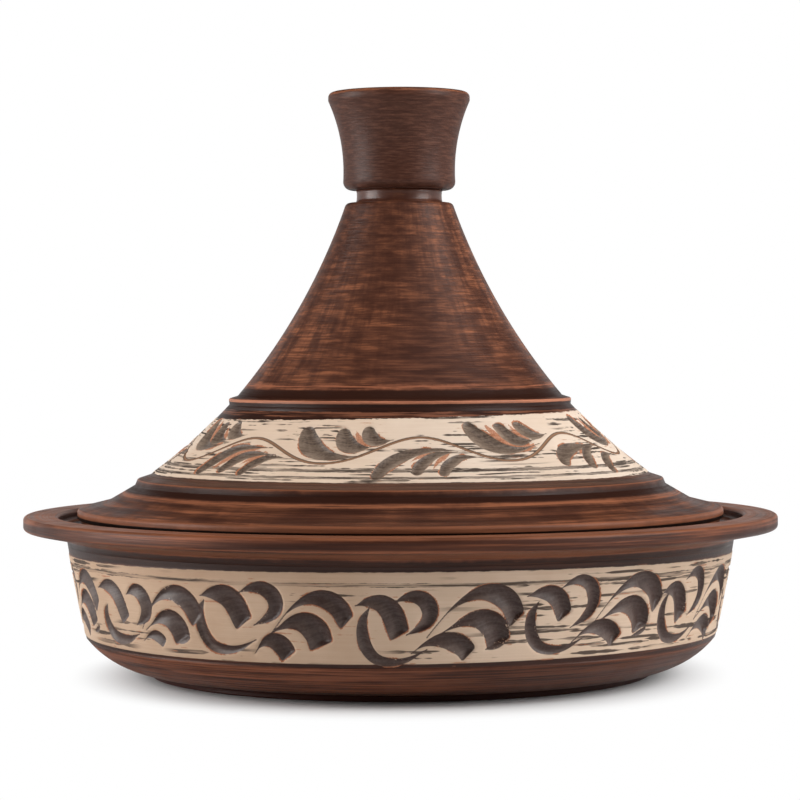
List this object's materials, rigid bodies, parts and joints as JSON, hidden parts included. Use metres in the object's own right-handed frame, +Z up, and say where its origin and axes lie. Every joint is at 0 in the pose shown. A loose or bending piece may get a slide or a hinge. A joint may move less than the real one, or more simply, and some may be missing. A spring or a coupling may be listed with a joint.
{
  "type": "tagine pot",
  "caption": "Clay tagine: round cooking dish with a broad rim and sunk gallery, and a conical lid with a flared cup knob, carved pale bands on both.",
  "frame": {"origin": "middle of the foot ring, on the table", "axes": "+Z up along the turning axis, out through the knob"},
  "size_m": [0.32, 0.32, 0.2468],
  "materials": {
    "burnished_clay": "burnished, satin",
    "pale_slip": "matte, brushed",
    "smoked_clay": "burnished, satin"
  },
  "bodies": {
    "base": {"base_dish": "burnished_clay", "base_slip_band": "pale_slip"},
    "lid": {"lid_cone": "burnished_clay", "lid_slip_band": "pale_slip", "lid_knob": "smoked_clay"}
  },
  "joints": [
    {"name": "lid_lift", "type": "slide", "parent": "base", "child": "lid", "axis": [0, 0, 1], "range_m": [0, 0.2]}
  ]
}
